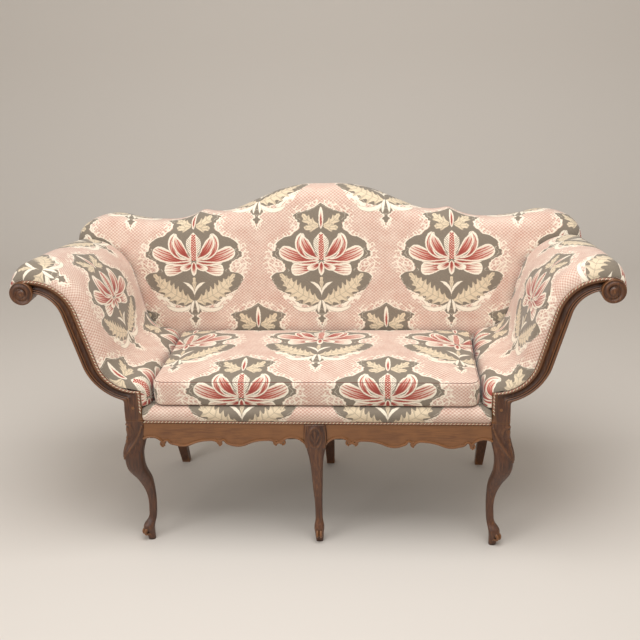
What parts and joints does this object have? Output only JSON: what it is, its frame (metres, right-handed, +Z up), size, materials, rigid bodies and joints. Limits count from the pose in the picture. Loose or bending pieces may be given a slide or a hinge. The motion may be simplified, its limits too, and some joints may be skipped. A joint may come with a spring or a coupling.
{
  "type": "camelback settee with scrolled arms",
  "caption": "Camelback settee with out-scrolled arms, carved cabriole legs, waved apron, damask upholstery and a loose seat cushion.",
  "frame": {"origin": "on the floor, under the middle of the settee's outer box", "axes": "+X to the sitter's left, along the settee, +Y from the front to the back, +Z up"},
  "size_m": [1.707, 0.6579, 0.9848],
  "materials": {
    "walnut": "waxed carved walnut, darker in the hollows",
    "beech": "planed unfinished beech frame wood",
    "damask": "woven furnishing damask, rose ground with taupe and cream figures",
    "gimp": "twisted braid in rose and cream",
    "hessian": "open jute hessian",
    "webbing": "jute webbing with a dark stripe",
    "calico": "plain cotton deck cloth",
    "stuffing": "hair and cotton wadding",
    "dust_cloth": "black dust cloth",
    "steel": "plain steel screws and blued tacks"
  },
  "bodies": {
    "frame": {"front_leg_left": "walnut", "front_leg_right": "walnut", "front_leg_middle": "walnut", "front_apron_left": "walnut", "front_apron_right": "walnut", "rear_leg_left": "walnut", "rear_leg_right": "walnut", "rear_leg_middle": "walnut", "arm_scroll_left": "walnut", "arm_scroll_right": "walnut", "joint_pegs": "walnut", "side_rail_left": "beech", "side_rail_right": "beech", "rear_rail": "beech", "cross_rail": "beech", "front_corner_block_left": "beech", "front_corner_block_right": "beech", "rear_corner_block_left": "beech", "rear_corner_block_right": "beech", "arm_rear_board_left": "beech", "arm_rear_board_right": "beech", "arm_top_rail_left": "beech", "arm_top_rail_right": "beech", "arm_tacking_rail_left": "beech", "arm_tacking_rail_right": "beech", "back_upright_left": "beech", "back_upright_right": "beech", "crest_board": "beech", "back_centre_post": "beech", "back_tacking_rail": "beech", "arm_pad_left": "damask", "arm_pad_right": "damask", "arm_outside_cover_left": "damask", "arm_outside_cover_right": "damask", "back_pad": "damask", "outside_back": "damask", "front_lip": "damask", "arm_gimp_left": "gimp", "arm_gimp_right": "gimp", "front_gimp": "gimp", "arm_hessian_left": "hessian", "arm_hessian_right": "hessian", "back_hessian": "hessian", "seat_hessian": "hessian", "back_webbing": "webbing", "seat_webbing": "webbing", "deck_cover": "calico", "seat_stuffing": "stuffing", "dust_cover": "dust_cloth", "corner_screws": "steel", "cover_tacks": "steel"},
    "cushion": {"cushion_cover": "damask", "cushion_filling": "stuffing"}
  },
  "joints": [
    {"name": "cushion_lift", "type": "slide", "parent": "frame", "child": "cushion", "axis": [0, 0, 1], "range_m": [0, 0.56]}
  ]
}
